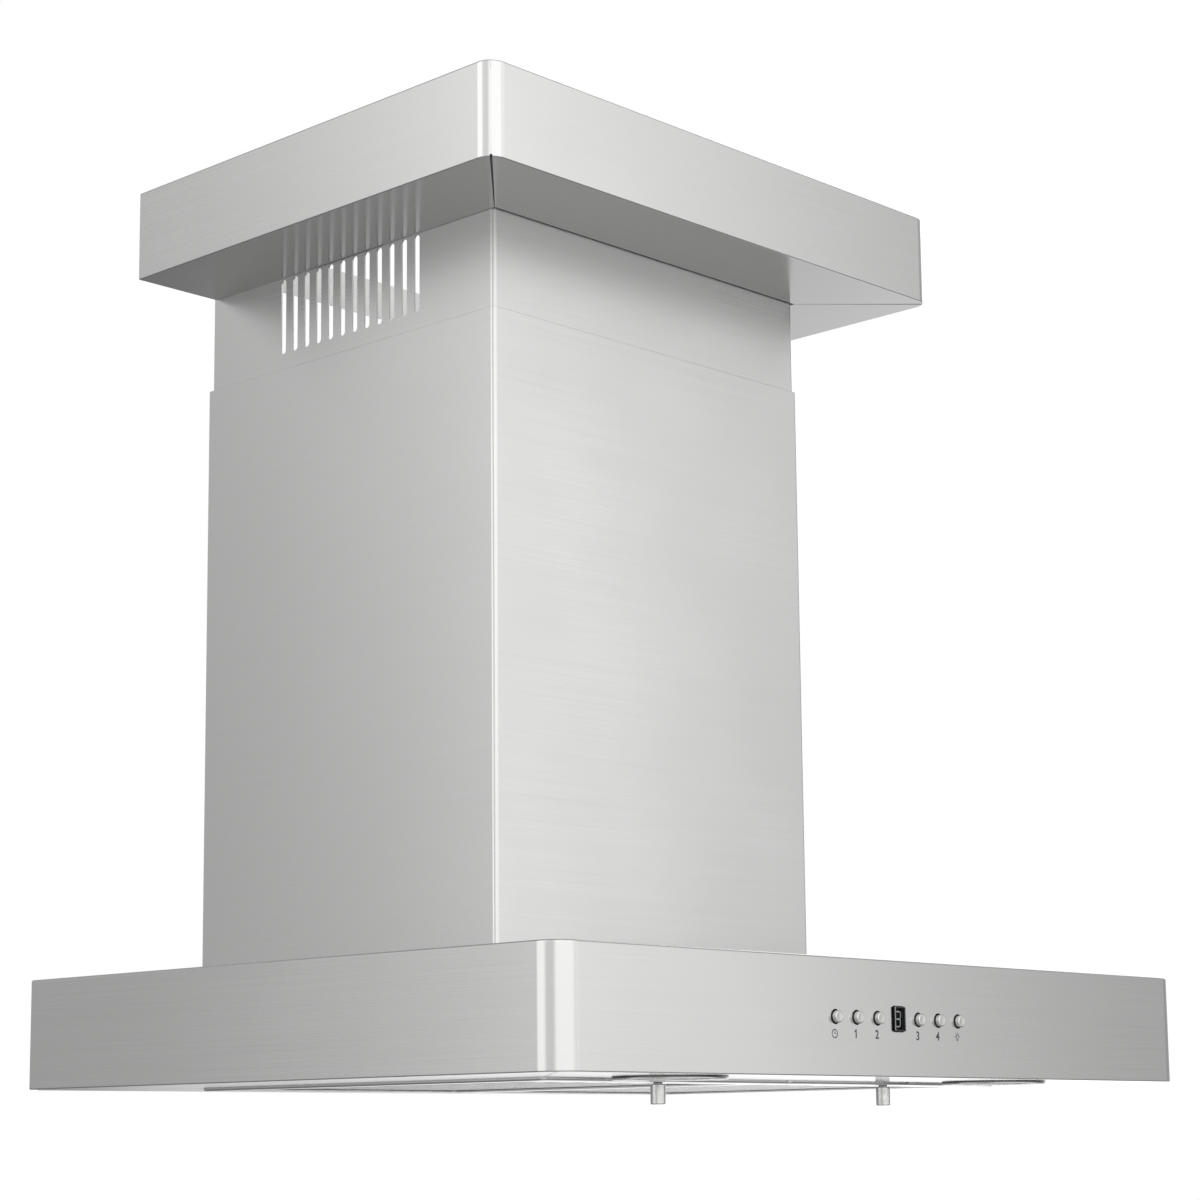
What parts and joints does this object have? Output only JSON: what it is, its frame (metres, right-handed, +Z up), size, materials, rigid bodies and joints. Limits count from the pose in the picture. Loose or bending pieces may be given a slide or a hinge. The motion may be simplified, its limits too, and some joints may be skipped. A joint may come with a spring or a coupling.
{
  "type": "range hood",
  "caption": "Chimney range hood with a slim canopy, push buttons with a digit display, hinged baffle filters, lamps, blower, damper, telescopic chimney and crown moulding.",
  "frame": {"origin": "centre of the canopy's back panel, on the wall plane, at mid-height of the canopy", "axes": "+X to the hood's right seen from the room, +Y into the wall, +Z up along the chimney"},
  "size_m": [0.6, 0.4932, 0.6355],
  "materials": {
    "brushed_steel": "fine horizontal brushing, satin",
    "polished_steel": "polished",
    "galvanised_steel": "zinc coated, dull",
    "satin_aluminium": "satin",
    "cast_aluminium": "matt, as cast",
    "frosted_lens": "frosted, translucent",
    "smoked_window": "gloss",
    "black_plastic": "fine moulded texture",
    "circuit_board": "satin lacquer",
    "motor_steel": "satin"
  },
  "bodies": {
    "hood": {"canopy_shell": "brushed_steel", "canopy_rim_front": "brushed_steel", "canopy_rim_left": "brushed_steel", "canopy_rim_right": "brushed_steel", "canopy_back": "brushed_steel", "outer_chimney": "brushed_steel", "lamp_ring_left": "polished_steel", "lamp_ring_right": "polished_steel", "damper_rod": "polished_steel", "housing_screw_front_left": "polished_steel", "housing_screw_front_right": "polished_steel", "housing_screw_back_left": "polished_steel", "housing_screw_back_right": "polished_steel", "blower_housing": "galvanised_steel", "blower_scroll": "galvanised_steel", "motor_bracket": "galvanised_steel", "chimney_guide": "galvanised_steel", "hanger_rail": "galvanised_steel", "hanger_hook": "galvanised_steel", "lamp_body_left": "cast_aluminium", "lamp_body_right": "cast_aluminium", "power_box": "cast_aluminium", "lamp_lens_left": "frosted_lens", "lamp_lens_right": "frosted_lens", "display_module": "smoked_window", "button_guide": "black_plastic", "motor_capacitor": "black_plastic", "cable_gland": "black_plastic", "duct_collar": "black_plastic", "switch_board": "circuit_board", "blower_motor": "motor_steel"},
    "upper_chimney": {"inner_chimney": "brushed_steel", "chimney_wall_bracket": "galvanised_steel", "chimney_screw_left": "polished_steel", "chimney_screw_right": "polished_steel", "crown_front": "brushed_steel", "crown_left": "brushed_steel", "crown_right": "brushed_steel", "crown_bracket_left": "galvanised_steel", "crown_bracket_right": "galvanised_steel", "crown_bracket_front": "galvanised_steel"},
    "filter_left": {"filter_frame_left": "brushed_steel", "filter_baffles_left": "brushed_steel"},
    "filter_right": {"filter_frame_right": "brushed_steel", "filter_baffles_right": "brushed_steel"},
    "latch_left": {"filter_latch_left": "galvanised_steel", "filter_knob_left": "polished_steel"},
    "latch_right": {"filter_latch_right": "galvanised_steel", "filter_knob_right": "polished_steel"},
    "fan": {"impeller": "black_plastic", "motor_shaft": "polished_steel"},
    "damper_front": {"damper_flap_front": "galvanised_steel"},
    "damper_back": {"damper_flap_back": "galvanised_steel"},
    "button_power": {"button_power": "satin_aluminium"},
    "button_speed_1": {"button_speed_1": "satin_aluminium"},
    "button_speed_2": {"button_speed_2": "satin_aluminium"},
    "button_speed_3": {"button_speed_3": "satin_aluminium"},
    "button_speed_4": {"button_speed_4": "satin_aluminium"},
    "button_light": {"button_light": "satin_aluminium"}
  },
  "joints": [
    {"name": "chimney_extend", "type": "slide", "parent": "hood", "child": "upper_chimney", "axis": [0, 0, 1], "range_m": [-0.06, 0.27]},
    {"name": "filter_left_hinge", "type": "hinge", "parent": "hood", "child": "filter_left", "pos_m": [-0.1088, -0.0858, -0.0368], "axis": [1, 0, 0], "range_deg": [0, 75]},
    {"name": "filter_right_hinge", "type": "hinge", "parent": "hood", "child": "filter_right", "pos_m": [0.1088, -0.0858, -0.0368], "axis": [1, 0, 0], "range_deg": [0, 75]},
    {"name": "latch_left_slide", "type": "slide", "parent": "filter_left", "child": "latch_left", "axis": [0, 1, 0], "range_m": [0, 0.005], "stiffness_N_per_m": 600, "springref_m": -0.002},
    {"name": "latch_right_slide", "type": "slide", "parent": "filter_right", "child": "latch_right", "axis": [0, 1, 0], "range_m": [0, 0.005], "stiffness_N_per_m": 600, "springref_m": -0.002},
    {"name": "fan_spin", "type": "hinge", "parent": "hood", "child": "fan", "pos_m": [0, -0.185, 0.1787], "axis": [1, 0, 0], "continuous": true},
    {"name": "damper_front_hinge", "type": "hinge", "parent": "hood", "child": "damper_front", "pos_m": [0, -0.121, 0.324], "axis": [-1, 0, 0], "range_deg": [0, 75]},
    {"name": "damper_back_hinge", "type": "hinge", "parent": "hood", "child": "damper_back", "pos_m": [0, -0.121, 0.324], "axis": [1, 0, 0], "range_deg": [0, 75]},
    {"name": "button_power_press", "type": "slide", "parent": "hood", "child": "button_power", "axis": [0, 1, 0], "range_m": [0, 0.0012], "stiffness_N_per_m": 900, "springref_m": -0.0015},
    {"name": "button_speed_1_press", "type": "slide", "parent": "hood", "child": "button_speed_1", "axis": [0, 1, 0], "range_m": [0, 0.0012], "stiffness_N_per_m": 900, "springref_m": -0.0015},
    {"name": "button_speed_2_press", "type": "slide", "parent": "hood", "child": "button_speed_2", "axis": [0, 1, 0], "range_m": [0, 0.0012], "stiffness_N_per_m": 900, "springref_m": -0.0015},
    {"name": "button_speed_3_press", "type": "slide", "parent": "hood", "child": "button_speed_3", "axis": [0, 1, 0], "range_m": [0, 0.0012], "stiffness_N_per_m": 900, "springref_m": -0.0015},
    {"name": "button_speed_4_press", "type": "slide", "parent": "hood", "child": "button_speed_4", "axis": [0, 1, 0], "range_m": [0, 0.0012], "stiffness_N_per_m": 900, "springref_m": -0.0015},
    {"name": "button_light_press", "type": "slide", "parent": "hood", "child": "button_light", "axis": [0, 1, 0], "range_m": [0, 0.0012], "stiffness_N_per_m": 900, "springref_m": -0.0015}
  ]
}
